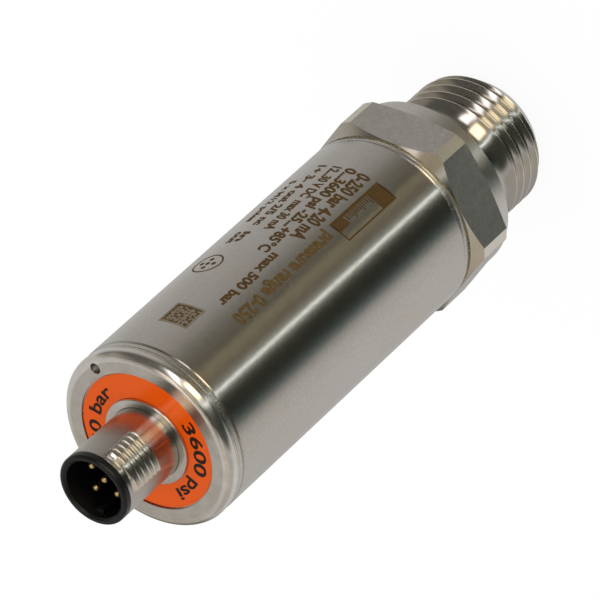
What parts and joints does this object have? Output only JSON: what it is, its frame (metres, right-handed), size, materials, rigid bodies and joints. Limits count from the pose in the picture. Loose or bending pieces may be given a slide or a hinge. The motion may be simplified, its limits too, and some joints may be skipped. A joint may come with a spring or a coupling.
{
  "type": "pressure transmitter",
  "caption": "Cylindrical stainless steel pressure transmitter with a threaded hexagon process connection, a printed ring on its end cap and a round threaded plug.",
  "frame": {"origin": "centre of the end face of the process thread, where the pressure port opens", "axes": "+Z along the turned axis from the process thread to the plug; X and Y through the outer contacts of the plug"},
  "size_m": [0.0284, 0.0302, 0.0945],
  "materials": {
    "turned_steel": "fine turned stainless steel",
    "housing_steel": "satin stainless steel tube",
    "sleeve_steel": "turned stainless steel",
    "cell_steel": "ground stainless steel",
    "seal_rubber": "black elastomer",
    "label_film": "orange printed film, satin",
    "insert_plastic": "black moulded plastic",
    "contact_gold": "gold-plated brass",
    "board_laminate": "green solder resist",
    "header_plastic": "black moulded plastic",
    "carrier_plastic": "grey moulded plastic",
    "flex_film": "amber flexible circuit",
    "package_plastic": "black moulded package",
    "crystal_can": "bright metal can",
    "capacitor_ceramic": "fired ceramic"
  },
  "bodies": {
    "root": {"process_connection": "turned_steel", "end_cap": "turned_steel", "connector_sleeve": "sleeve_steel", "housing_tube": "housing_steel", "pressure_cell": "cell_steel", "port_seal": "seal_rubber", "connector_o_ring": "seal_rubber", "range_label": "label_film", "connector_insert": "insert_plastic", "connector_board": "board_laminate", "main_board": "board_laminate", "cell_board": "board_laminate", "board_header": "header_plastic", "board_carrier": "carrier_plastic", "flex_lead": "flex_film", "signal_amplifier": "package_plastic", "microcontroller": "package_plastic", "output_driver": "package_plastic", "voltage_regulator": "package_plastic", "surge_diodes": "package_plastic", "clock_crystal": "crystal_can", "filter_capacitors": "capacitor_ceramic", "contact_pin_1": "contact_gold", "contact_pin_2": "contact_gold", "contact_pin_3": "contact_gold", "contact_pin_4": "contact_gold", "contact_pin_5": "contact_gold"}
  },
  "joints": []
}
